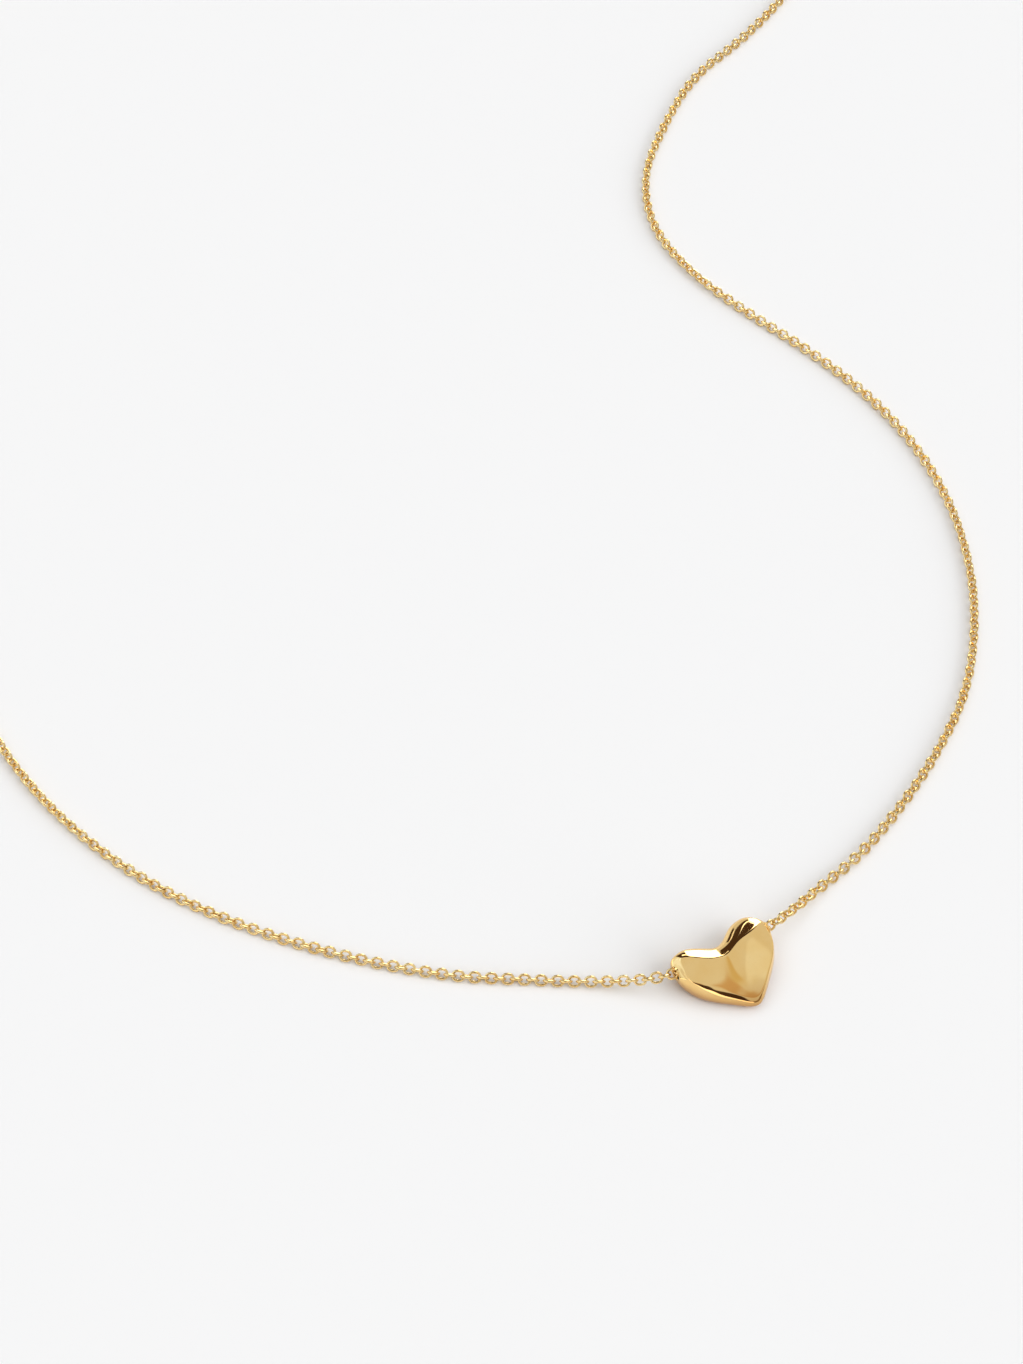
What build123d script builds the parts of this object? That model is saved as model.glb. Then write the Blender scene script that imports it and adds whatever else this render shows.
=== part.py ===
from build123d import *
import math
import os

# A fine gold chain with a small puffed heart bead threaded on it, lying on a flat surface.
# Millimetres. The origin is the middle of the heart's flat back, on the surface.
# X runs along the heart's bore, Y from the heart's tip towards its lobes, Z up.

# Heart
heart_width = 9.8          # across both lobes, along the bore
heart_height = 7.2         # from lobes to tip between the sections' edges; the sides bulge past
heart_thickness = 3.6      # of the face above the flat back, near the lobes
bore_share = 0.32          # of heart_height: the bore's axis, from the heart's middle to the lobes
bore_cover = 0.87          # metal over the bore, below heart_thickness
bore_dip = 0.6             # how far the bore bends towards the tip at the middle, past the notch
mouth_wall = 0.15          # of the heart round the bore's two mouths
foot_share = 1.6           # how far in the underside begins, as a share of near_in below

# Chain
chain_diameter = 0.96      # outside of the linked chain
bore_clearance = 0.1       # all round the chain in the bore
mouth_reach = 0.8          # where the chain first bends, outside the heart's ends
bend_share = 0.45          # of the shorter run that each bend takes up

# Rings and clasp
ring_wire = 0.45           # wire of the two small rings
end_ring_room = 0.725      # in the ring that the clasp hooks, round the clasp's wire
jump_ring_radius = 1.25    # centre line of the ring in the clasp's tail
clasp_wire = 1.1
clasp_radius = 2.4         # centre line of the clasp's ring
clasp_lift = 0.65          # of the clasp's wire above the surface: it lies on the two small rings
clasp_centre = (38.2, 145.6)
clasp_heading = 160.0      # direction of the clasp's tail, in degrees from +X
tail_wire = 0.5
tail_room = 0.375          # in the tail loop, round the jump ring's wire
tail_sink = 0.2            # how far the tail loop's wire sits in the clasp's wire
peg_diameter = 0.6         # thumb peg on the clasp
peg_reach = 0.75           # how far the peg stands out of the clasp's ring
peg_angle = 125.0          # round the ring, from the tail
link_slack = 0.2           # how far the end ring is pulled along the chain
chain_gap = 0.1            # between the chain's end and its ring

# The heart's sections across the bore, from the left lobe to the right.
# across is a share of half the width. low, high, near_in and far_in are shares of the height:
# the tip side's edge, the lobe side's edge, and how far in from them the face begins.
# near, middle, far, side and under are shares of the thickness above the back:
# the face's two borders and its middle, the lobe side's widest point, and the underside.
heart_sections = [
    # across   low    high  near_in far_in  near  middle  far   side   under
    (-0.965,  0.075, 0.490, 0.075,  0.120, 0.740, 0.860, 0.820, 0.600, 0.230),
    (-0.850,  0.000, 0.540, 0.070,  0.190, 0.700, 0.870, 0.890, 0.600, 0.060),
    (-0.660, -0.110, 0.550, 0.060,  0.280, 0.670, 0.860, 0.950, 0.600, -0.050),
    (-0.430, -0.230, 0.500, 0.055,  0.290, 0.630, 0.820, 0.980, 0.600, -0.060),
    (-0.230, -0.350, 0.425, 0.055,  0.260, 0.580, 0.780, 0.970, 0.600, -0.060),
    (-0.050, -0.440, 0.385, 0.060,  0.230, 0.500, 0.740, 0.960, 0.550, -0.060),
    (0.110,  -0.465, 0.400, 0.060,  0.235, 0.460, 0.730, 0.970, 0.570, -0.060),
    (0.300,  -0.390, 0.490, 0.060,  0.320, 0.520, 0.780, 0.990, 0.600, -0.060),
    (0.480,  -0.280, 0.555, 0.060,  0.360, 0.600, 0.830, 1.000, 0.600, -0.060),
    (0.680,  -0.145, 0.560, 0.065,  0.310, 0.680, 0.880, 0.970, 0.600, -0.050),
    (0.840,  -0.020, 0.510, 0.075,  0.200, 0.740, 0.880, 0.900, 0.600, 0.060),
    (0.955,   0.090, 0.440, 0.075,  0.110, 0.760, 0.850, 0.820, 0.600, 0.230),
]

# The chain's route over the surface, as points that its bends round off: x, y and height.
floor = chain_diameter / 2
right_route = [
    (8.4, 3.1, 1.55), (12.2, 4.4, 0.6), (17.6, 5.6, floor), (24.4, 8.5, floor),
    (31.0, 12.1, floor), (37.0, 16.3, floor), (42.3, 22.4, floor), (46.3, 28.9, floor),
    (49.3, 36.5, floor), (50.8, 45.0, floor), (50.5, 53.5, floor), (48.6, 61.8, floor),
    (46.0, 69.5, floor), (43.9, 77.3, floor), (43.9, 85.5, floor), (47.2, 93.1, floor),
    (53.2, 99.3, floor), (60.6, 103.6, floor), (68.5, 105.9, floor), (76.5, 109.5, floor),
    (83.0, 114.0, floor), (85.8, 121.0, floor), (83.0, 128.8, floor), (75.0, 134.2, floor),
    (64.0, 137.2, floor), (53.5, 139.8, floor),
]
left_route = [
    (-8.2, 3.9, 1.4), (-11.4, 6.2, 0.6), (-16.0, 9.2, floor), (-22.0, 13.1, floor),
    (-28.4, 18.9, floor), (-34.5, 25.7, floor), (-39.6, 33.1, floor), (-43.3, 41.1, floor),
    (-45.7, 50.0, floor), (-46.4, 59.5, floor), (-45.6, 71.5, floor), (-42.6, 84.0, floor),
    (-38.0, 96.3, floor), (-32.5, 108.3, floor), (-26.8, 120.0, floor), (-21.0, 131.6, floor),
    (-15.0, 143.0, floor), (-7.8, 153.0, floor), (2.5, 158.6, floor), (13.5, 156.2, floor),
    (23.5, 151.8, floor),
]

# Worked out from the sizes above
bore_radius = chain_diameter / 2 + bore_clearance
bore_across = heart_height * bore_share
bore_height = heart_thickness - bore_cover - bore_radius
half_width = heart_width / 2
mouth_point = half_width + mouth_reach
bore_slope = bore_dip / half_width
middle_across = bore_across - bore_dip
mouth_across = bore_across + bore_slope * mouth_reach
bore_run = math.hypot(mouth_point, mouth_across - middle_across)
bore_bend = bend_share * bore_run / bore_slope
clasp_height = clasp_lift + clasp_wire / 2
end_ring_radius = clasp_wire / 2 + end_ring_room + ring_wire / 2
tail_radius = tail_wire / 2 + tail_room + ring_wire / 2


def outline(near_edge, face_middle, far_edge, far_side, far_foot, near_foot, near_side):
    """A closed section of the heart: three arcs and a straight underside."""
    return Wire([
        ThreePointArc(near_edge, face_middle, far_edge).edge(),
        ThreePointArc(far_edge, far_side, far_foot).edge(),
        Line(far_foot, near_foot).edge(),
        ThreePointArc(near_foot, near_side, near_edge).edge(),
    ])


def section(row):
    """One section of the heart across its bore, from a row of the table."""
    across, low, high, near_in, far_in, near, middle, far, side, under = row

    def point(share, height):
        return Vector(across * half_width, heart_height * share, heart_thickness * height)

    return outline(
        near_edge=point(low + near_in, near),
        face_middle=point((low + near_in + high - far_in) / 2, middle),
        far_edge=point(high - far_in, far),
        far_side=point(high, side),
        far_foot=point(high - foot_share * near_in, under),
        near_foot=point(low + foot_share * near_in, under),
        near_side=point(low, (near + under) / 2),
    )


def mouth_section(side):
    """The round section at one end of the heart, a thin wall round the bore's mouth."""
    radius = bore_radius + mouth_wall

    def point(degrees):
        angle = math.radians(degrees)
        return Vector(side * half_width, bore_across + radius * math.cos(angle),
                      bore_height + radius * math.sin(angle))

    return outline(point(130), point(90), point(50), point(0), point(-70), point(-110), point(180))


def make_bore():
    """The bore's space: in from each lobe at a slight angle, with one wide bend at the middle."""
    reach = 2 * half_width
    ends = [(side * reach, middle_across + bore_slope * reach, bore_height) for side in (-1, 1)]
    path = FilletPolyline(ends[0], (0, middle_across, bore_height), ends[1], radius=bore_bend)
    start = Plane(origin=path.position_at(0), z_dir=path.tangent_at(0))
    return sweep(start * Circle(bore_radius), path=path)


def make_heart():
    """The cast bead: lofted through its sections, ground flat behind, bored from lobe to lobe."""
    middle_sections = [section(row) for row in heart_sections]
    body = Solid.make_loft([mouth_section(-1)] + middle_sections + [mouth_section(1)])
    ground = Box(3 * heart_width, 3 * heart_width, heart_thickness,
                 align=(Align.CENTER, Align.CENTER, Align.MAX))
    return body - ground - make_bore()


def clasp_point(along, across, height):
    """A point of the clasp group, measured from the clasp's centre along its tail."""
    turn = math.radians(clasp_heading)
    x = clasp_centre[0] + along * math.cos(turn) - across * math.sin(turn)
    y = clasp_centre[1] + along * math.sin(turn) + across * math.cos(turn)
    return (x, y, height)


def leaning_ring(radius, along, side):
    """A small ring that leans over along the chain's line, with its lowest point on the surface."""
    lean = math.asin((clasp_height - ring_wire / 2) / radius)
    place = Location(clasp_point(along, 0, clasp_height), (0, 0, clasp_heading))
    tilt = Location((0, 0, 0), (side * math.degrees(lean), 0, 0))
    return place * tilt * Torus(radius, ring_wire / 2)


tail_along = clasp_radius + clasp_wire / 2 - tail_sink + tail_radius
end_ring_along = -(clasp_radius + link_slack)
jump_ring_along = tail_along + jump_ring_radius


def make_clasp():
    """The clasp, closed: a round ring with its tail loop and its thumb peg, in one piece."""
    ring = Torus(clasp_radius, clasp_wire / 2)
    tail = Location((tail_along, 0, 0)) * Torus(tail_radius, tail_wire / 2)
    peg_place = Location((0, 0, 0), (0, 0, peg_angle)) * Location((clasp_radius, 0, 0), (0, 90, 0))
    peg_length = clasp_wire / 2 + peg_reach
    peg = peg_place * Cylinder(peg_diameter / 2, peg_length,
                               align=(Align.CENTER, Align.CENTER, Align.MIN))
    place = Location(clasp_point(0, 0, clasp_height), (0, 0, clasp_heading))
    return place * (ring + tail + peg)


def chain_points():
    """The chain's whole route: from the end ring, through the heart, to the jump ring."""
    end_reach = end_ring_along - end_ring_radius - ring_wire / 2 - chain_gap
    jump_reach = jump_ring_along + jump_ring_radius + ring_wire / 2 + chain_gap
    start = clasp_point(end_reach, 0, clasp_height)
    finish = clasp_point(jump_reach, 0, clasp_height)
    right_mouth = (mouth_point, mouth_across, bore_height)
    middle = (0, middle_across, bore_height)
    left_mouth = (-mouth_point, mouth_across, bore_height)
    points = [start] + right_route[::-1] + [right_mouth, middle, left_mouth] + left_route + [finish]
    return [Vector(*point) for point in points]


def chain_bends(points):
    """The radius of each bend: as large as its two runs allow, and at the heart its mouth."""
    radii = []
    for before, corner, after in zip(points, points[1:], points[2:]):
        turn = math.radians((corner - before).get_angle(after - corner))
        room = bend_share * min((corner - before).length, (after - corner).length)
        at_mouth = abs(abs(corner.X) - mouth_point) < 1e-6 and abs(corner.Y - mouth_across) < 1e-6
        if at_mouth:
            room = mouth_reach
        radii.append(room / math.tan(turn / 2))
    return radii


def make_chain():
    """The fine chain as one tube along its route."""
    points = chain_points()
    radii = chain_bends(points)
    print("chain bend radii", [round(radius, 1) for radius in radii])
    path = FilletPolyline(*points, radius=radii)
    start = path.position_at(0)
    profile = Plane(origin=start, z_dir=path.tangent_at(0)) * Circle(chain_diameter / 2)
    tube = sweep(profile, path=path)
    expected = math.pi * (chain_diameter / 2) ** 2 * path.length
    print("chain length", round(path.length, 2), "volume", round(tube.volume, 3),
          "section times length", round(expected, 3))
    return tube


parts = {
    "heart": make_heart(),
    "chain": make_chain(),
    "clasp": make_clasp(),
    "end_ring": leaning_ring(end_ring_radius, end_ring_along, 1),
    "jump_ring": leaning_ring(jump_ring_radius, jump_ring_along, -1),
}

os.makedirs("parts", exist_ok=True)
for name, shape in parts.items():
    export_step(shape, f"parts/{name}.step")
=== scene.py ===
"""A fine gold trace chain with a small puffed heart bead on it, lying on a pale surface.

The frame comes packed, in metres. X runs along the heart's bore, Y from the heart's tip
towards its lobes and on across the loop of chain to the clasp, and Z up from the surface.
"""
import math
import random

import bmesh
import bpy
from bpy.props import FloatProperty, FloatVectorProperty, IntProperty, PointerProperty
from bpy.types import Operator, Panel, PropertyGroup
from mathutils import Matrix, Vector


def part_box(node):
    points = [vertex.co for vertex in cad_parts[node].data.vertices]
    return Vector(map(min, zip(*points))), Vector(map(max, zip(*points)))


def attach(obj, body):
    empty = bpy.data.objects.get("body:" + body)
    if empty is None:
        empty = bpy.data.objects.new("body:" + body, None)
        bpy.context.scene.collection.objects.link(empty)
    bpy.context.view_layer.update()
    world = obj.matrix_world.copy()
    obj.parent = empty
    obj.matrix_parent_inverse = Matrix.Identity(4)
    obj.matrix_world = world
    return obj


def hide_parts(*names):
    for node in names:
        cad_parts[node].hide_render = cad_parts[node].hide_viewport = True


bl_info = {
    "name": "Heart Bead Necklace",
    "version": (1, 0, 0),
    "blender": (4, 5, 0),
    "location": "View3D > Sidebar > Necklace",
    "description": "Builds a gold heart bead on a fine trace chain, with its clasp and a pale stage",
    "category": "Add Mesh",
}

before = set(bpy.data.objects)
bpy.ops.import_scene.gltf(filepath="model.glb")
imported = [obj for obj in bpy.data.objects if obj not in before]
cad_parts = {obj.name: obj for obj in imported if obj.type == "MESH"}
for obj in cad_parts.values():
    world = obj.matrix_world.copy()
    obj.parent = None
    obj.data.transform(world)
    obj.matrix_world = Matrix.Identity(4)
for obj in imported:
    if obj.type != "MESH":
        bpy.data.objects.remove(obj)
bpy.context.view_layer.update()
MM = 0.001

# The heart's sections, from the left lobe to the right, in millimetres.
# across is the place along the bore. near is the tip side's widest point and ridge the tip
# side's edge of the face, with its crease and how far the face rolls over towards it. crest is
# the lobe side's edge of the face, bend the line that parts the slope beyond it, brow that
# slope's outer edge, and far the lobe side's widest point. under is the height where the back
# begins, and foot how far in.
HEART_COLUMNS = ("across", "near", "near_z", "ridge", "ridge_z", "sharp", "roll", "crest",
                 "crest_z", "bend", "bend_z", "brow", "brow_z", "far", "far_z", "under", "foot")
HEART_ROWS = (
    (-4.80, 1.32, 1.65, 1.55, 2.36, 0.0, 0.0, 2.80,
     2.72, 3.08, 2.68, 3.34, 2.58, 3.35, 2.00, 1.00, 0.45),
    (-4.60, 0.90, 1.50, 1.17, 2.40, 0.0, 0.0, 2.94,
     2.90, 3.26, 2.86, 3.55, 2.74, 3.60, 2.05, 0.55, 0.55),
    (-4.02, -0.15, 1.30, 0.25, 2.52, 0.1, 0.3, 3.02,
     3.29, 3.33, 3.17, 3.62, 2.97, 3.88, 2.20, 0.00, 0.70),
    (-3.35, -1.01, 1.20, -0.57, 2.31, 0.5, 1.2, 2.62,
     3.42, 3.21, 3.28, 3.77, 3.04, 3.98, 2.25, 0.00, 0.70),
    (-2.50, -1.75, 1.10, -1.23, 2.08, 0.5, 1.35, 1.92,
     3.47, 2.77, 3.24, 3.58, 2.91, 3.80, 2.25, 0.00, 0.70),
    (-1.65, -2.38, 1.00, -1.81, 1.91, 0.5, 1.3, 1.34,
     3.50, 2.26, 3.22, 3.14, 2.86, 3.35, 2.20, 0.00, 0.70),
    (-0.85, -3.00, 0.90, -2.42, 1.74, 0.5, 1.0, 1.08,
     3.50, 1.80, 3.22, 2.62, 2.82, 2.95, 2.20, 0.00, 0.70),
    (-0.20, -3.42, 0.80, -2.95, 1.52, 0.5, 0.9, 1.02,
     3.50, 1.50, 3.31, 2.05, 3.13, 2.84, 2.45, 0.00, 0.70),
    (0.45, -3.64, 0.75, -3.24, 1.41, 0.5, 0.6, 1.30,
     3.52, 1.70, 3.36, 2.15, 3.20, 3.07, 2.55, 0.00, 0.70),
    (1.15, -3.28, 0.80, -2.98, 1.70, 0.4, 0.4, 1.62,
     3.54, 1.88, 3.47, 2.45, 3.25, 3.62, 2.58, 0.00, 0.70),
    (1.85, -2.66, 0.90, -2.40, 2.05, 0.4, 0.3, 1.83,
     3.56, 2.28, 3.46, 2.98, 3.19, 4.11, 2.60, 0.00, 0.70),
    (2.60, -1.95, 1.00, -1.70, 2.38, 0.4, 0.3, 1.92,
     3.58, 2.80, 3.40, 3.50, 3.14, 4.28, 2.62, 0.00, 0.70),
    (3.30, -1.30, 1.15, -1.04, 2.64, 0.4, 0.3, 2.10,
     3.58, 3.22, 3.34, 3.72, 3.15, 4.23, 2.66, 0.00, 0.70),
    (3.90, -0.62, 1.30, -0.34, 2.86, 0.4, 0.3, 2.40,
     3.53, 3.25, 3.26, 3.50, 3.14, 3.98, 2.60, 0.00, 0.70),
    (4.40, 0.22, 1.50, 0.52, 2.96, 0.3, 0.3, 2.45,
     3.36, 2.80, 3.25, 3.08, 3.10, 3.45, 2.30, 0.35, 0.60),
    (4.70, 1.30, 1.75, 1.55, 2.78, 0.1, 0.0, 2.35,
     3.00, 2.50, 2.97, 2.62, 2.88, 3.00, 2.00, 0.90, 0.50),
)
# Where the face's points lie between its ridge and its crest, and how far the roll lifts each
FACE_POINTS = ((0.14, 0.09), (0.37, 0.10), (0.63, 0.06), (0.88, 0.02))
RIDGE_PLACE = 4   # of a section's points, the tip side's edge of the face
CREST_PLACE = 9   # and the lobe side's
BEND_PLACE = 10   # and the bend beyond it
BEND_ROW = 9      # the section from which that bend is sharp
FACET_ROW = 2     # the section where the left end's facet begins
FACET_BULGE = (-0.12, -0.22, -0.33, -0.33, -0.20, 0.02)  # of that section, ridge to crest
FOLD = ((2.3, 1.3), (-0.9, -1.9))   # where the face's soft fold runs, in millimetres
# A section's points between its named ones. On each side one lies above the back, in from the
# widest point by a share of the foot, and up by a share of the way to that point.
NEAR_TUCK, NEAR_RISE = 0.25, 0.4
FAR_TUCK, FAR_RISE = 0.2, 0.5
SHOULDER_IN, SHOULDER_UP = 0.17, 0.55   # the shoulder's way from the widest point to the ridge
BACK_SHARES = (0.25, 0.5, 0.75)         # and the places across the flat back
BORE_DEPTHS = (0.04, 0.25, 1.0)         # of the bore's first rings, in millimetres

# The chain's route over the surface, in millimetres, from the heart outwards.
RIGHT_ROUTE = (
    (8.4, 3.1, 1.55), (12.2, 4.4, 0.6), (17.6, 5.6), (24.4, 8.5), (31.0, 12.1), (37.0, 16.3),
    (42.3, 22.4), (46.3, 28.9), (49.3, 36.5), (50.8, 45.0), (50.5, 53.5), (48.6, 61.8),
    (46.0, 69.5), (43.9, 77.3), (43.9, 85.5), (47.4, 92.95), (53.9, 98.75), (60.6, 103.6),
    (68.5, 105.9), (76.5, 109.5), (83.0, 114.0), (85.8, 121.0), (83.0, 128.8), (75.0, 134.2),
    (64.0, 137.2), (53.5, 139.8),
)
LEFT_ROUTE = (
    (-8.2, 3.9, 1.4), (-11.4, 6.2, 0.6), (-16.0, 9.2), (-22.0, 13.1), (-28.4, 18.9),
    (-34.5, 25.7), (-39.6, 33.1), (-43.3, 41.1), (-45.7, 50.0), (-46.4, 59.5), (-45.6, 71.5),
    (-42.6, 84.0), (-38.0, 96.3), (-32.5, 108.3), (-26.8, 120.0), (-21.0, 131.6),
    (-15.0, 143.0), (-7.8, 153.0), (2.5, 158.6), (13.5, 156.2), (23.5, 151.8),
)

# Through the heart: each point's side, and how far past the bore's axis it lies, in millimetres
BORE_ROUTE = ((1, 0.1), (0, -0.6), (-1, 0.1))
ROUTE_STEPS = 24   # places that the smooth curve has from one of the route's points to the next
RING_RADII = {"end_ring": 1.5, "jump_ring": 1.25}   # to the middle of the wire, in millimetres

# Where the chain lies a little twisted: the place, how far the twist reaches, and its degrees.
# The last two turn the chain's end links to fit their rings.
CHAIN_TWISTS = (
    (47.5, 32.0, 14.0, 15.0), (44.2, 77.0, 4.0, 34.0), (17.5, 5.8, 6.0, 20.0),
    (8.0, 3.0, 4.5, -17.0), (-19.0, 11.0, 16.0, 10.0), (-45.5, 52.0, 10.0, -15.0),
    (42.0, 144.2, 5.0, 90.0), (32.5, 147.8, 5.0, 90.0),
)
CHAIN_SEED = 5     # for each link's chance turn
LINK_STEPS = 14   # faces along a link's wire
WIRE_SIDES = 5    # and round it

# How strongly each gold is marked, and how fine its patches are, per metre
HEART_MARKS = {"Size": 450.0, "Scratches": 0.25, "Smudges": 0.25, "Polish": 0.05}
CHAIN_MARKS = {"Size": 900.0, "Scratches": 0.3, "Smudges": 0.4, "Polish": 0.06}
MARKS_HEIGHT = 0.002 * MM
PATCH_FROM, PATCH_TO = 0.35, 0.65       # where in the noise a gold turns from deep to light
SCRATCH_FROM, SCRATCH_TO = 0.62, 0.72   # where in the noise a scratch begins, and is whole
SCRATCH_FINENESS = 6.0                  # how much finer the scratches are than the patches
SCRATCH_STRETCH = (0.15, 1.0, 1.0)      # they run long along X
MARKS_SPREAD = 0.12                     # how much rougher the strongest marks are
PAINTED_SHADE_FROM, PAINTED_SHADE_TO = 2.2 * MM, 0.8 * MM   # the heights between which the heart's gold is painted darker towards the back, a painted shade

# What polished metal reflects of the studio, in degrees: turned from +X towards +Y, and raised
# above the horizon. Later ones cover earlier ones, and each fades out over its softness.
DARK = (0.068, 0.038, 0.022)
STUDIO_PANELS = (
    # name, turned from and to, raised from and to, softness, tone
    ("pale wall to the left", (100, 180), (12, 66), 6, (0.92, 1.00, 1.08)),
    ("warm haze to the right", (-80, -46), (51, 57), 8, (0.67, 0.57, 0.36)),
    ("warm strip to the right", (-90, -68), (54, 58), 8, (0.62, 0.46, 0.31)),
    ("window to the left", (114, 150), (2, 12), 3, (1.8, 1.8, 1.8)),
    ("dark foot to the right", (-100, -14), (-5, 18), 5, (0.34, 0.26, 0.16)),
    ("dark beam behind", (20, 110), (48, 84), 3, DARK),
    ("dark room behind", (50, 104), (16, 72), 1.5, DARK),
    ("dark line low behind", (88.2, 96), (4.5, 12.6), 0.8, DARK),
    ("pale line low behind", (88.2, 96), (13.6, 14.8), 0.7, (1.6, 1.5, 1.4)),
    ("window behind", (38, 63), (-20, 46), 2, (4.6, 4.6, 4.6)),
    ("slit beside the window", (62, 79), (27, 29), 2, (2.6, 2.6, 2.6)),
    ("dusk over the dark room", (-136, -114), (50, 60), 8, (0.36, 0.24, 0.13)),
    ("dark room in front", (-146, -105), (18, 54), 5, DARK),
    ("low window in front", (-175, -100), (-2, 13), 4, (1.95, 1.8, 1.7)),
)
STUDIO_SPOTS = (
    # name, turned to, raised to, radius, softness, tone
    ("pale wall's bright spot", 125, 46, 9, 14, (1.2, 1.55, 2.2)),
    ("pale wall's low spot", 150, 28, 10, 12, (1.02, 1.18, 1.5)),
    ("pale ceiling to the right", -35, 74, 6, 6, (0.84, 0.88, 0.94)),
)

SIDE_LIGHT_WAY = (-0.62, 0.79, -0.45)   # the ways that the two soft lights shine
TOP_LIGHT_WAY = (0.0, 0.0, -1.0)
FLOOR_SIDES = 64   # of the round floor's edge

# The camera's place, what it looks at, its lens and its sensor's width, in millimetres
CAMERA_PLACE = (-98.509, -129.550, 253.533)
CAMERA_TARGET = (-0.139, 39.738, 0.0)
CAMERA_LENS = 87.395
SENSOR_WIDTH = 36.0
CLIP_NEAR, CLIP_FAR = 0.001, 100.0   # what it sees, in metres

# A colour Mix node's factor, its two colours and its result
MIX_SHARE, MIX_FIRST, MIX_SECOND, MIX_RESULT = 0, 6, 7, 2


class HeartSizes(PropertyGroup):
    bore_across: FloatProperty(
        name="Bore Across", description="Bore's axis, from the heart's middle to the lobes",
        default=2.304 * MM, unit="LENGTH", subtype="DISTANCE")
    bore_dip: FloatProperty(
        name="Bore Dip", description="How far the bore bends towards the tip at the middle",
        default=0.44 * MM, unit="LENGTH", subtype="DISTANCE")
    bore_height: FloatProperty(
        name="Bore Height", description="Bore's axis above the back",
        default=2.15 * MM, unit="LENGTH", subtype="DISTANCE")
    bore_radius: FloatProperty(
        name="Bore Radius", description="Radius of the bore",
        default=0.58 * MM, unit="LENGTH", subtype="DISTANCE")
    mouth_wall: FloatProperty(
        name="Mouth Wall", description="Metal round the bore's two mouths",
        default=0.15 * MM, unit="LENGTH", subtype="DISTANCE")
    half_width: FloatProperty(
        name="Half Width", description="From the heart's middle to its ends, along the bore",
        default=4.92 * MM, unit="LENGTH", subtype="DISTANCE")
    fold_depth: FloatProperty(
        name="Fold Depth", description="How deep the soft fold down the face is",
        default=0.13 * MM, unit="LENGTH", subtype="DISTANCE")
    fold_start: FloatProperty(
        name="Fold Start", description="The fold's depth at the crest, as a share of its depth",
        default=0.45, min=0.0, max=1.0, subtype="FACTOR")
    fold_width: FloatProperty(
        name="Fold Width", description="How far the soft fold reaches to each side",
        default=0.80 * MM, unit="LENGTH", subtype="DISTANCE")
    crest_crease: FloatProperty(
        name="Crest Crease", description="How sharp the face's edge on the lobe side is",
        default=0.38, min=0.0, max=1.0, subtype="FACTOR")
    bend_crease: FloatProperty(
        name="Bend Crease", description="How sharp the bend in the right lobe's slope is",
        default=0.3, min=0.0, max=1.0, subtype="FACTOR")
    facet_crease: FloatProperty(
        name="Facet Crease", description="How sharp the edge of the left end's facet is",
        default=0.5, min=0.0, max=1.0, subtype="FACTOR")
    levels: IntProperty(
        name="Subdivisions", description="Levels of subdivision of the heart's cage",
        default=3, min=1, max=4)


class ChainSizes(PropertyGroup):
    link_length: FloatProperty(
        name="Link Length", description="Outside length of a link",
        default=1.29 * MM, unit="LENGTH", subtype="DISTANCE")
    link_width: FloatProperty(
        name="Link Width", description="Outside width of a link",
        default=1.15 * MM, unit="LENGTH", subtype="DISTANCE")
    wire: FloatProperty(
        name="Wire", description="Diameter of a link's wire",
        default=0.27 * MM, unit="LENGTH", subtype="DISTANCE")
    pitch: FloatProperty(
        name="Pitch", description="From one link's middle to the next",
        default=0.75 * MM, unit="LENGTH", subtype="DISTANCE")
    roll: FloatProperty(
        name="Roll", description="How far each link leans from upright, to one side and the other",
        default=math.radians(45), unit="ROTATION", subtype="ANGLE")
    sway: FloatProperty(
        name="Sway", description="Largest chance turn of a link about the chain",
        default=math.radians(7), unit="ROTATION", subtype="ANGLE")
    axis_height: FloatProperty(
        name="Axis Height", description="The chain's middle above the surface where it lies",
        default=0.47 * MM, unit="LENGTH", subtype="DISTANCE")
    mouth_reach: FloatProperty(
        name="Mouth Reach", description="Where the chain first bends, outside the heart's ends",
        default=5.7 * MM, unit="LENGTH", subtype="DISTANCE")


class GoldColours(PropertyGroup):
    heart_light: FloatVectorProperty(
        name="Heart Light", description="The heart's gold where it is cleanest",
        default=(0.94, 0.66, 0.28), min=0.0, max=1.0, subtype="COLOR")
    heart_deep: FloatVectorProperty(
        name="Heart Deep", description="The heart's gold in faint patches",
        default=(0.92, 0.62, 0.24), min=0.0, max=1.0, subtype="COLOR")
    # Painted shade: the darker, more orange gold painted down the heart's sides towards the back
    heart_painted_shade: FloatVectorProperty(
        name="Heart Painted Shade", description="The heart's gold down its sides, near the back",
        default=(0.60, 0.33, 0.11), min=0.0, max=1.0, subtype="COLOR")
    chain_light: FloatVectorProperty(
        name="Chain Light", description="The chain's gold where it is cleanest",
        default=(0.91, 0.70, 0.335), min=0.0, max=1.0, subtype="COLOR")
    chain_deep: FloatVectorProperty(
        name="Chain Deep", description="The chain's gold in faint patches",
        default=(0.85, 0.58, 0.225), min=0.0, max=1.0, subtype="COLOR")


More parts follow.
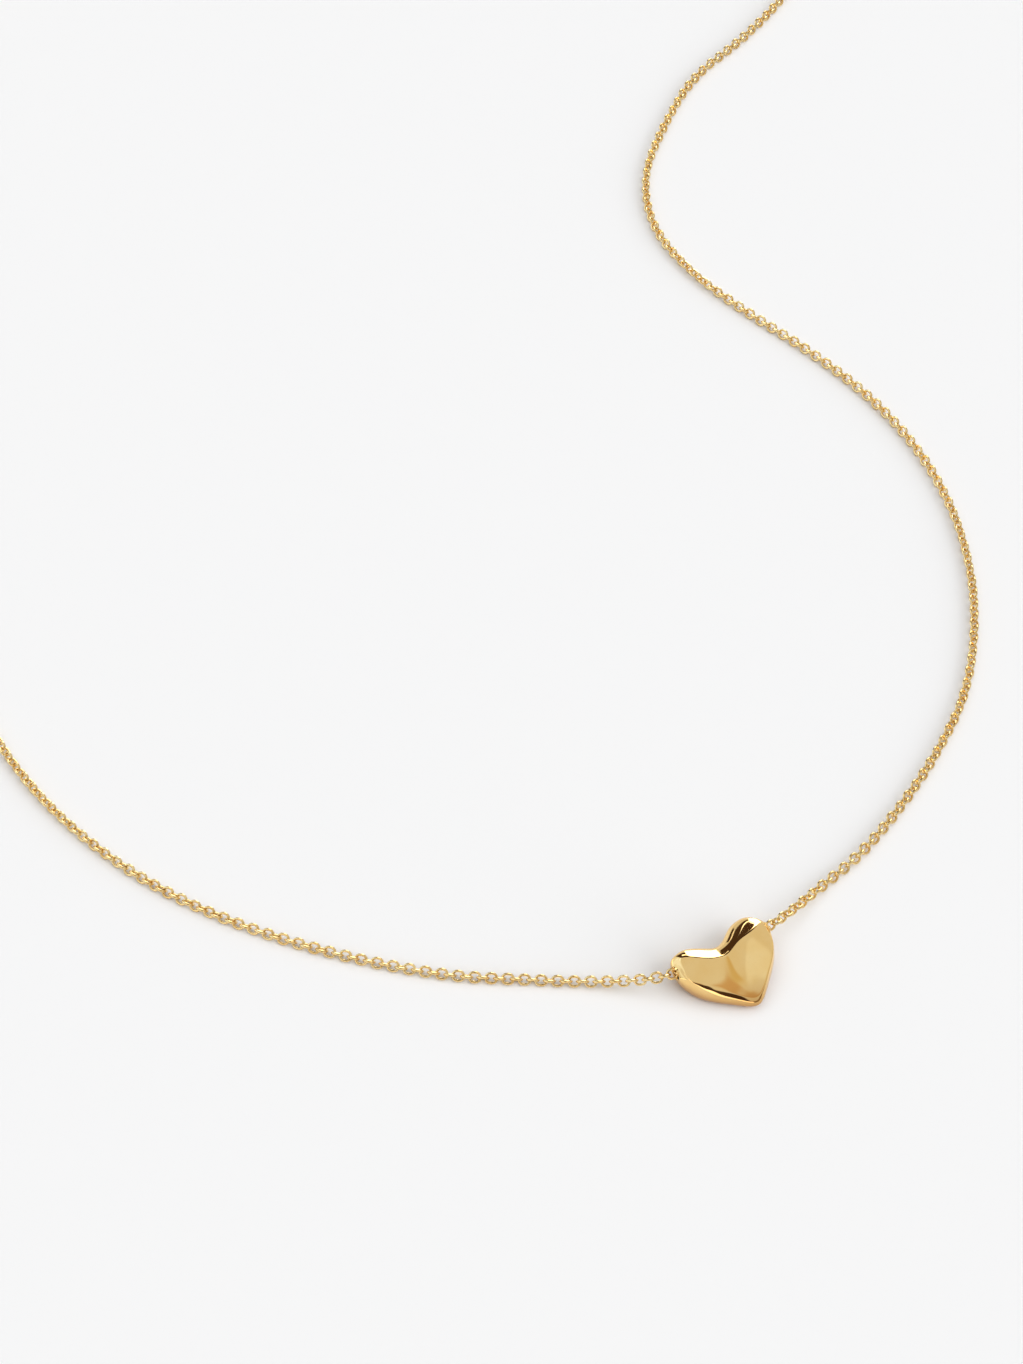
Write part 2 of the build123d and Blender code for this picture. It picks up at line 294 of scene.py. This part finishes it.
class StageSettings(PropertyGroup):
    floor_colour: FloatVectorProperty(
        name="Floor Colour", description="Colour of the pale surface",
        default=(0.925, 0.925, 0.927), min=0.0, max=1.0, subtype="COLOR")
    floor_radius: FloatProperty(
        name="Floor Radius", description="Radius of the pale surface",
        default=4.0, unit="LENGTH", subtype="DISTANCE")
    sun_strength: FloatProperty(
        name="Side Light", description="Strength of the soft light from the right",
        default=2.30, min=0.0)
    sun_angle: FloatProperty(
        name="Side Light Size", description="Apparent size of the light from the right",
        default=math.radians(60), unit="ROTATION", subtype="ANGLE")
    top_strength: FloatProperty(
        name="Top Light", description="Strength of the broad light from above",
        default=1.30, min=0.0)
    top_angle: FloatProperty(
        name="Top Light Size", description="Apparent size of the light from above",
        default=math.radians(90), unit="ROTATION", subtype="ANGLE")
    room_colour: FloatVectorProperty(
        name="Room Colour", description="Tone of the studio's walls and ceiling in the metal",
        default=(0.76, 0.76, 0.76), min=0.0, max=1.0, subtype="COLOR")
    backdrop_colour: FloatVectorProperty(
        name="Backdrop Colour", description="Tone of what the camera sees past the floor",
        default=(0.92, 0.92, 0.92), min=0.0, max=1.0, subtype="COLOR")
    sky_strength: FloatProperty(
        name="Sky Strength", description="Strength of the light from all round",
        default=0.29, min=0.0)


def node(tree, kind, values=None, **settings):
    """A new node, with its settings, and its inputs' values or links."""
    made = tree.nodes.new(kind)
    for name, value in settings.items():
        setattr(made, name, value)
    for name, value in (values or {}).items():
        if isinstance(value, bpy.types.NodeSocket):
            tree.links.new(value, made.inputs[name])
        else:
            made.inputs[name].default_value = value
    return made


def math_node(tree, operation, *values):
    """The output of a Math node."""
    made = node(tree, "ShaderNodeMath", dict(enumerate(values)), operation=operation)
    return made.outputs[0]


def mixed(tree, share, first, second, name=""):
    """The first colour turned to the second by a share."""
    made = node(tree, "ShaderNodeMix", {MIX_SHARE: share, MIX_FIRST: first,
                                        MIX_SECOND: (*second, 1.0)},
                data_type="RGBA", label=name)
    return made.outputs[MIX_RESULT]


def polish_group():
    """Polished metal's faint marks: fine scratches and soft smudges."""
    group = bpy.data.node_groups.new("Polished metal marks", "ShaderNodeTree")
    for name, low, high, start in (("Size", 1.0, 1e6, 1000.0), ("Scratches", 0.0, 1.0, 0.3),
                                   ("Smudges", 0.0, 1.0, 0.3), ("Polish", 0.0, 1.0, 0.06)):
        socket = group.interface.new_socket(name, in_out="INPUT", socket_type="NodeSocketFloat")
        socket.min_value, socket.max_value, socket.default_value = low, high, start
    for name in ("Patches", "Roughness", "Height"):
        group.interface.new_socket(name, in_out="OUTPUT", socket_type="NodeSocketFloat")
    given = node(group, "NodeGroupInput").outputs
    place = node(group, "ShaderNodeTexCoord").outputs["Object"]
    scratch_scale = math_node(group, "MULTIPLY", given["Size"], SCRATCH_FINENESS)
    long_way = node(group, "ShaderNodeMapping", {"Vector": place, "Scale": SCRATCH_STRETCH})
    patches = node(group, "ShaderNodeTexNoise",
                   {"Vector": place, "Scale": given["Size"], "Detail": 3.0, "Roughness": 0.5})
    scratches = node(group, "ShaderNodeTexNoise",
                     {"Vector": long_way.outputs[0], "Scale": scratch_scale, "Detail": 4.0,
                      "Roughness": 0.65, "Distortion": 0.6})
    lines = node(group, "ShaderNodeValToRGB", {"Fac": scratches.outputs["Fac"]})
    lines.color_ramp.elements[0].position = SCRATCH_FROM
    lines.color_ramp.elements[1].position = SCRATCH_TO
    scratched = math_node(group, "MULTIPLY", lines.outputs["Color"], given["Scratches"])
    smudged = math_node(group, "MULTIPLY", patches.outputs["Fac"], given["Smudges"])
    marks = math_node(group, "ADD", scratched, smudged)
    spread = math_node(group, "MULTIPLY", marks, MARKS_SPREAD)
    roughness = math_node(group, "ADD", given["Polish"], spread)
    height = math_node(group, "SUBTRACT", smudged, scratched)
    node(group, "NodeGroupOutput", {"Patches": patches.outputs["Fac"], "Roughness": roughness,
                                    "Height": height})
    return group


def gold(name, light, deep, group, marks, low=None):
    """Polished gold with faint patches of a deeper gold, scratches and smudges, and, when a low
    colour is given, a painted shade: the gold painted darker towards the back.
    """
    material = bpy.data.materials.new(name)
    material.use_nodes = True
    tree = material.node_tree
    shader = tree.nodes["Principled BSDF"]
    worn = node(tree, "ShaderNodeGroup", node_tree=group)
    for key, value in marks.items():
        worn.inputs[key].default_value = value
    ramp = node(tree, "ShaderNodeValToRGB", {"Fac": worn.outputs["Patches"]})
    ramp.color_ramp.elements[0].position = PATCH_FROM
    ramp.color_ramp.elements[0].color = (*deep, 1.0)
    ramp.color_ramp.elements[1].position = PATCH_TO
    ramp.color_ramp.elements[1].color = (*light, 1.0)
    relief = node(tree, "ShaderNodeBump", {"Height": worn.outputs["Height"],
                                           "Distance": MARKS_HEIGHT, "Strength": 0.5})
    colour = ramp.outputs["Color"]
    # Painted shade: from a height down to the back, the gold is painted darker and more orange,
    # standing for the dimmer floor that the sides reflect
    if low:
        place = node(tree, "ShaderNodeTexCoord").outputs["Object"]
        height = node(tree, "ShaderNodeSeparateXYZ", {"Vector": place}).outputs["Z"]
        depth = node(tree, "ShaderNodeMapRange", {"Value": height, "From Min": PAINTED_SHADE_FROM,
                                                  "From Max": PAINTED_SHADE_TO})
        colour = mixed(tree, depth.outputs[0], colour, low)
    tree.links.new(colour, shader.inputs["Base Color"])
    tree.links.new(worn.outputs["Roughness"], shader.inputs["Roughness"])
    tree.links.new(relief.outputs["Normal"], shader.inputs["Normal"])
    shader.inputs["Metallic"].default_value = 1.0
    material.diffuse_color = (*light, 1.0)
    material.metallic = 1.0
    material.roughness = 0.15
    return material


def materials(context):
    """The two golds, made once."""
    group = bpy.data.node_groups.get("Polished metal marks") or polish_group()
    colours = context.scene.necklace_gold
    heart = bpy.data.materials.get("Heart gold") or gold(
        "Heart gold", colours.heart_light, colours.heart_deep, group, HEART_MARKS,
        colours.heart_painted_shade)
    chain = bpy.data.materials.get("Chain gold") or gold(
        "Chain gold", colours.chain_light, colours.chain_deep, group, CHAIN_MARKS)
    return heart, chain


def piece(name, bm, material, slot, *nodes):
    """A finished mesh as a piece of the object, standing for CAD nodes."""
    bmesh.ops.recalc_face_normals(bm, faces=bm.faces)
    for face in bm.faces:
        face.smooth = True
    mesh = bpy.data.meshes.new(name)
    bm.to_mesh(mesh)
    bm.free()
    mesh.materials.append(material)
    obj = bpy.data.objects.new(name, mesh)
    bpy.context.scene.collection.objects.link(obj)
    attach(obj, "root")
    if nodes:
        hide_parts(*nodes)
    return obj


def fold_depth(sizes, across, up):
    """How far the face's soft fold sinks it at a place, in millimetres."""
    start, finish = (Vector(point) for point in FOLD)
    along = (finish - start).normalized()
    place = Vector((across, up)) - start
    share = min(1.0, max(0.0, place.dot(along) / (finish - start).length))
    depth = sizes.fold_depth / MM * (sizes.fold_start + (1 - sizes.fold_start) * share)
    return depth * math.exp(-(place.cross(along) * MM / sizes.fold_width) ** 2)


def heart_section(row, sizes):
    """The points of one of the heart's sections, round from the tip side's foot."""
    at = dict(zip(HEART_COLUMNS, row))
    foot, under = at["foot"], at["under"]
    near, ridge, crest, bend, brow, far = (
        Vector((at[name], at[name + "_z"]))
        for name in ("near", "ridge", "crest", "bend", "brow", "far"))
    near_foot = Vector((near.x + foot, under))
    near_side = Vector((near.x + NEAR_TUCK * foot, under + NEAR_RISE * (near.y - under)))
    shoulder = Vector((near.x + SHOULDER_IN * (ridge.x - near.x),
                       near.y + SHOULDER_UP * (ridge.y - near.y)))
    far_side = Vector((far.x - FAR_TUCK * foot, under + FAR_RISE * (far.y - under)))
    far_foot = Vector((far.x - foot, under))
    points = [near_foot, near_side, near, shoulder, ridge]
    for share, lift in FACE_POINTS:
        point = ridge.lerp(crest, share)
        sink = fold_depth(sizes, at["across"], point.x)
        points.append(point + Vector((0, at["roll"] * lift - sink)))
    points += [crest, bend, brow, far, far_side, far_foot]
    points += [far_foot.lerp(near_foot, share) for share in BACK_SHARES]
    return [Vector((at["across"], *point)) * MM for point in points]


def bore_ring(sizes, side, radius, reach, beside):
    """Places round the bore, in the directions of the points of the section beside them."""
    dip = sizes.bore_dip * (1 - min(1, reach / sizes.half_width))
    centre = Vector((side * reach, sizes.bore_across - dip, sizes.bore_height))
    places = []
    for point in beside:
        way = Vector((0, point.y - sizes.bore_across, point.z - sizes.bore_height))
        places.append(centre + way.normalized() * radius)
    return places


def mouth_rings(sizes, side, beside):
    """The rings from the last section over the mouth's rim and into the bore."""
    rim = sizes.bore_radius + sizes.mouth_wall
    rings = [bore_ring(sizes, side, rim, sizes.half_width, beside)]
    for depth in BORE_DEPTHS:
        reach = sizes.half_width - depth * MM
        rings.append(bore_ring(sizes, side, sizes.bore_radius, reach, beside))
    return rings


def add_ring(bm, places):
    """A closed ring of edges through the places."""
    ring = bmesh.ops.create_circle(bm, segments=len(places), radius=MM)["verts"]
    for vert, place in zip(ring, places):
        vert.co = place
    return ring


def ring_edges(ring):
    """The edges between a ring's neighbours."""
    return [bm_edge(a, b) for a, b in zip(ring, ring[1:] + ring[:1])]


def bm_edge(first, second):
    """The edge between two vertices."""
    return next(edge for edge in first.link_edges if edge.other_vert(first) is second)


def crease_heart(bm, body, sizes):
    """Sharpen the face's two edges, the bend in the right lobe and the left end's facet."""
    crease = bm.edges.layers.float.new("crease_edge")
    sharp = HEART_COLUMNS.index("sharp")
    for row, first, second in zip(HEART_ROWS[FACET_ROW:], body[FACET_ROW:],
                                  body[FACET_ROW + 1:]):
        bm_edge(first[RIDGE_PLACE], second[RIDGE_PLACE])[crease] = row[sharp]
        bm_edge(first[CREST_PLACE], second[CREST_PLACE])[crease] = sizes.crest_crease
    for first, second in zip(body[BEND_ROW:], body[BEND_ROW + 1:]):
        bm_edge(first[BEND_PLACE], second[BEND_PLACE])[crease] = sizes.bend_crease
    facet = body[FACET_ROW]
    for first, second in zip(facet[RIDGE_PLACE:CREST_PLACE], facet[RIDGE_PLACE + 1:]):
        bm_edge(first, second)[crease] = sizes.facet_crease


class NECKLACE_OT_heart(Operator):
    """Build the puffed heart bead from its sections, with the bore from lobe to lobe"""

    bl_idname = "necklace.heart"
    bl_label = "Heart"

    def execute(self, context):
        sizes = context.scene.necklace_heart
        sections = [heart_section(row, sizes) for row in HEART_ROWS]
        for point, bulge in zip(sections[FACET_ROW][RIDGE_PLACE:CREST_PLACE + 1], FACET_BULGE):
            point.x += bulge * MM
        left = mouth_rings(sizes, -1, sections[0])
        right = mouth_rings(sizes, 1, sections[-1])
        middle = bore_ring(sizes, 1, sizes.bore_radius, 0, sections[len(sections) // 2])
        bm = bmesh.new()
        rings = [add_ring(bm, places) for places in left[::-1] + sections + right + [middle]]
        edges = [ring_edges(ring) for ring in rings]
        for one, other in zip(edges, edges[1:] + edges[:1]):
            bmesh.ops.bridge_loops(bm, edges=one + other)
        crease_heart(bm, rings[len(left):len(left) + len(sections)], sizes)
        obj = piece("heart_bead", bm, materials(context)[0], "heart_gold", "heart")
        smooth = obj.modifiers.new("Subdivision", "SUBSURF")
        smooth.levels = smooth.render_levels = sizes.levels
        return {"FINISHED"}


def route_points(sizes):
    """The chain's route as a smooth curve's control points, from the end ring to the jump ring."""
    low = sizes.axis_height / MM
    right = [(*point, low)[:3] for point in RIGHT_ROUTE]
    left = [(*point, low)[:3] for point in LEFT_ROUTE]
    heart = bpy.context.scene.necklace_heart
    bore = [(side * sizes.mouth_reach / MM, heart.bore_across / MM + past, heart.bore_height / MM)
            for side, past in BORE_ROUTE]
    first = ring_hold("end_ring", right[-1])
    last = ring_hold("jump_ring", left[-1])
    return [Vector(point) * MM for point in [first] + right[::-1] + bore + left + [last]]


def ring_hold(name, towards):
    """Where the chain's end link holds a ring: the point of its wire nearest to the chain."""
    low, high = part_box(name)
    centre = (Vector(low) + Vector(high)) / 2 / MM
    way = Vector((towards[0] - centre.x, towards[1] - centre.y, 0)).normalized()
    return tuple(centre + way * RING_RADII[name])


def smooth_path(points):
    """Points read from the smooth curve that has these control points."""
    data = bpy.data.curves.new("route", "CURVE")
    data.dimensions = "3D"
    data.resolution_u = ROUTE_STEPS
    spline = data.splines.new("NURBS")
    spline.points.add(len(points) - 1)
    for knot, point in zip(spline.points, points):
        knot.co = (*point, 1.0)
    spline.order_u = 3
    spline.use_endpoint_u = True
    holder = bpy.data.objects.new("route", data)
    bpy.context.scene.collection.objects.link(holder)
    mesh = bpy.data.meshes.new_from_object(holder)
    path = [vert.co.copy() for vert in mesh.vertices]
    bpy.data.objects.remove(holder)
    bpy.data.curves.remove(data)
    bpy.data.meshes.remove(mesh)
    return path


def even_places(path, pitch):
    """Places one pitch apart along a path, each with the path's direction there."""
    places = []
    needed = 0.0
    gone = 0.0
    for first, second in zip(path, path[1:]):
        length = (second - first).length
        while length > 0 and needed <= gone + length:
            places.append((first.lerp(second, (needed - gone) / length),
                           (second - first).normalized()))
            needed += pitch
        gone += length
    return places


def twist_at(place):
    """How far the chain is twisted about itself at a place."""
    twist = 0.0
    for x, y, reach, degrees in CHAIN_TWISTS:
        away = Vector((place.x / MM - x, place.y / MM - y)).length
        twist += math.radians(degrees) * math.exp(-(away / reach) ** 2)
    return twist


def link_mesh(length, width, wire):
    """One oval link, as a bmesh: a ring of wire stretched along X."""
    bm = bmesh.new()
    ring = bmesh.ops.create_circle(bm, segments=WIRE_SIDES, radius=wire / 2)["verts"]
    radius = (width - wire) / 2
    turn = Matrix.Translation((0, radius, 0)) @ Matrix.Rotation(math.radians(90), 4, "Y")
    bmesh.ops.transform(bm, matrix=turn, verts=ring)
    bmesh.ops.spin(bm, geom=bm.verts[:] + bm.edges[:], cent=(0, 0, 0), axis=(0, 0, 1),
                   angle=math.tau, steps=LINK_STEPS, use_merge=True)
    straight = (length - width) / 2
    middle = radius * 0.05   # the vertices nearer to the link's middle than this stay there
    for vert in bm.verts:
        if abs(vert.co.x) > middle:
            vert.co.x += math.copysign(straight, vert.co.x)
    return bm


class NECKLACE_OT_chain(Operator):
    """Lay the links of the fine chain along its route, through the heart and round both rings"""

    bl_idname = "necklace.chain"
    bl_label = "Chain"

    def execute(self, context):
        sizes = context.scene.necklace_chain
        path = smooth_path(route_points(sizes))
        link = link_mesh(sizes.link_length, sizes.link_width, sizes.wire)
        mesh = bpy.data.meshes.new("link")
        link.to_mesh(mesh)
        link.free()
        chance = random.Random(CHAIN_SEED)
        half_width = (sizes.link_width - sizes.wire) / 2
        bm = bmesh.new()
        for number, (place, way) in enumerate(even_places(path, sizes.pitch)):
            across = Vector((0, 0, 1)).cross(way).normalized()
            up = way.cross(across)
            frame_turn = Matrix((way, across, up)).transposed().to_4x4()
            roll = sizes.roll * (1 if number % 2 else -1) + chance.uniform(-1, 1) * sizes.sway
            twist = twist_at(place)
            lean = Matrix.Rotation(roll + twist, 4, "X")
            # A twisted link reaches lower, so it is lifted until it lies on the surface
            steepest = min(math.pi / 2, sizes.roll + sizes.sway + abs(twist))
            depth = half_width * math.sin(steepest) + sizes.wire / 2
            seat = place + Vector((0, 0, max(0.0, depth - place.z)))
            before = len(bm.verts)
            bm.from_mesh(mesh)
            bm.verts.ensure_lookup_table()
            bmesh.ops.transform(bm, matrix=Matrix.Translation(seat) @ frame_turn @ lean,
                                verts=bm.verts[before:])
        bpy.data.meshes.remove(mesh)
        piece("chain_links", bm, materials(context)[1], "chain_gold", "chain")
        return {"FINISHED"}


class NECKLACE_OT_clasp(Operator):
    """Finish the clasp and its two rings in the chain's gold"""

    bl_idname = "necklace.clasp"
    bl_label = "Clasp and Rings"

    def execute(self, context):
        for name in ("clasp", "end_ring", "jump_ring"):
            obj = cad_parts[name]
            obj.data.materials.clear()
            obj.data.materials.append(materials(context)[1])
        return {"FINISHED"}


def soft_lamp(name, strength, angle, way):
    """A large soft light shining one way, that polished metal doesn't mirror."""
    light = bpy.data.lights.new(name, "SUN")
    light.energy = strength
    light.angle = angle
    lamp = bpy.data.objects.new(name, light)
    lamp.rotation_mode = "QUATERNION"
    lamp.rotation_quaternion = Vector(way).to_track_quat("-Z", "Y")
    lamp.visible_glossy = False
    bpy.context.scene.collection.objects.link(lamp)


def pale_floor(settings):
    """The plain surface that the necklace lies on."""
    bm = bmesh.new()
    bmesh.ops.create_circle(bm, cap_ends=True, segments=FLOOR_SIDES, radius=settings.floor_radius)
    mesh = bpy.data.meshes.new("floor")
    bm.to_mesh(mesh)
    bm.free()
    paint = bpy.data.materials.new("Pale floor")
    paint.use_nodes = True
    shader = paint.node_tree.nodes["Principled BSDF"]
    shader.inputs["Base Color"].default_value = (*settings.floor_colour, 1.0)
    shader.inputs["Roughness"].default_value = 1.0
    shader.inputs["Specular IOR Level"].default_value = 0.0
    mesh.materials.append(paint)
    floor = bpy.data.objects.new("floor", mesh)
    bpy.context.scene.collection.objects.link(floor)


def photo_camera():
    """A camera at the photo's angle, distance and framing."""
    camera = bpy.data.cameras.new("camera")
    camera.lens = CAMERA_LENS
    camera.sensor_width = SENSOR_WIDTH
    camera.clip_start = CLIP_NEAR
    camera.clip_end = CLIP_FAR
    eye = bpy.data.objects.new("camera", camera)
    eye.location = Vector(CAMERA_PLACE) * MM
    way = Vector(CAMERA_TARGET) - Vector(CAMERA_PLACE)
    eye.rotation_mode = "QUATERNION"
    eye.rotation_quaternion = way.to_track_quat("-Z", "Y")
    bpy.context.scene.collection.objects.link(eye)
    return eye


class NECKLACE_OT_stage(Operator):
    """Add the pale surface, the soft light and the camera at the photo's angle"""

    bl_idname = "necklace.stage"
    bl_label = "Stage"

    def execute(self, context):
        settings = context.scene.necklace_stage
        pale_floor(settings)
        soft_lamp("side light", settings.sun_strength, settings.sun_angle, SIDE_LIGHT_WAY)
        soft_lamp("top light", settings.top_strength, settings.top_angle, TOP_LIGHT_WAY)
        world = bpy.data.worlds.new("soft studio")
        world.use_nodes = True
        context.scene.world = world
        studio_light(world.node_tree, settings)
        context.scene.camera = photo_camera()
        context.scene.view_settings.view_transform = "Standard"
        context.scene.view_settings.look = "None"
        return {"FINISHED"}


def fade(tree, value, low, high, soft):
    """1 where the value lies between low and high, fading to 0 over soft outside them."""
    rising = node(tree, "ShaderNodeMapRange", {"Value": value, "From Min": low - soft,
                                               "From Max": low}, interpolation_type="SMOOTHSTEP")
    falling = node(tree, "ShaderNodeMapRange", {"Value": value, "From Min": high + soft,
                                                "From Max": high}, interpolation_type="SMOOTHSTEP")
    return math_node(tree, "MULTIPLY", rising.outputs[0], falling.outputs[0])


def studio_light(tree, settings):
    """An even pale light, and the windows and dark corners that polished metal shows."""
    tree.nodes.clear()
    way = node(tree, "ShaderNodeTexCoord").outputs["Generated"]
    parts = node(tree, "ShaderNodeSeparateXYZ", {"Vector": way}).outputs
    turn = math_node(tree, "DEGREES", math_node(tree, "ARCTAN2", parts["Y"], parts["X"]))
    height = math_node(tree, "DEGREES", math_node(tree, "ARCSINE", parts["Z"]))
    colour = (*settings.room_colour, 1.0)
    for name, turns, heights, soft, tone in STUDIO_PANELS:
        mask = math_node(tree, "MULTIPLY", fade(tree, turn, *turns, soft),
                         fade(tree, height, *heights, soft))
        colour = mixed(tree, mask, colour, tone, name)
    for name, turned, raised, radius, soft, tone in STUDIO_SPOTS:
        flat = math.cos(math.radians(raised))
        towards = (flat * math.cos(math.radians(turned)), flat * math.sin(math.radians(turned)),
                   math.sin(math.radians(raised)))
        dot = node(tree, "ShaderNodeVectorMath", {0: way, 1: towards}, operation="DOT_PRODUCT")
        away = math_node(tree, "DEGREES", math_node(tree, "ARCCOSINE", dot.outputs["Value"]))
        colour = mixed(tree, fade(tree, away, 0.0, radius, soft), colour, tone, name)
    seen = node(tree, "ShaderNodeBackground", {"Color": (*settings.backdrop_colour, 1.0)})
    even = node(tree, "ShaderNodeBackground", {"Color": (1.0, 1.0, 1.0, 1.0),
                                               "Strength": settings.sky_strength})
    shown = node(tree, "ShaderNodeBackground", {"Color": colour})
    rays = node(tree, "ShaderNodeLightPath").outputs
    metal = node(tree, "ShaderNodeMixShader", {"Fac": rays["Is Glossy Ray"], 1: even.outputs[0],
                                               2: shown.outputs[0]})
    both = node(tree, "ShaderNodeMixShader", {"Fac": rays["Is Camera Ray"], 1: metal.outputs[0],
                                              2: seen.outputs[0]})
    node(tree, "ShaderNodeOutputWorld", {"Surface": both.outputs[0]})


class NECKLACE_PT_panel(Panel):
    """Lists the necklace's pieces in the sidebar"""

    bl_idname = "NECKLACE_PT_panel"
    bl_label = "Heart Bead Necklace"
    bl_space_type = "VIEW_3D"
    bl_region_type = "UI"
    bl_category = "Necklace"

    def draw(self, context):
        for group in GROUPS:
            settings = getattr(context.scene, group)
            for name in settings.__annotations__:
                self.layout.prop(settings, name)
        for operator in OPERATORS:
            self.layout.operator(operator.bl_idname)


GROUPS = {"necklace_heart": HeartSizes, "necklace_chain": ChainSizes,
          "necklace_gold": GoldColours, "necklace_stage": StageSettings}
OPERATORS = (NECKLACE_OT_heart, NECKLACE_OT_chain, NECKLACE_OT_clasp, NECKLACE_OT_stage)


def register():
    for name, group in GROUPS.items():
        bpy.utils.register_class(group)
        setattr(bpy.types.Scene, name, PointerProperty(type=group))
    for kind in OPERATORS + (NECKLACE_PT_panel,):
        bpy.utils.register_class(kind)


def unregister():
    for kind in (NECKLACE_PT_panel,) + OPERATORS[::-1]:
        bpy.utils.unregister_class(kind)
    for name, group in GROUPS.items():
        delattr(bpy.types.Scene, name)
        bpy.utils.unregister_class(group)


def main():
    register()
    bpy.ops.necklace.heart()
    bpy.ops.necklace.chain()
    bpy.ops.necklace.clasp()
    bpy.ops.necklace.stage()


if __name__ == "__main__":
    main()
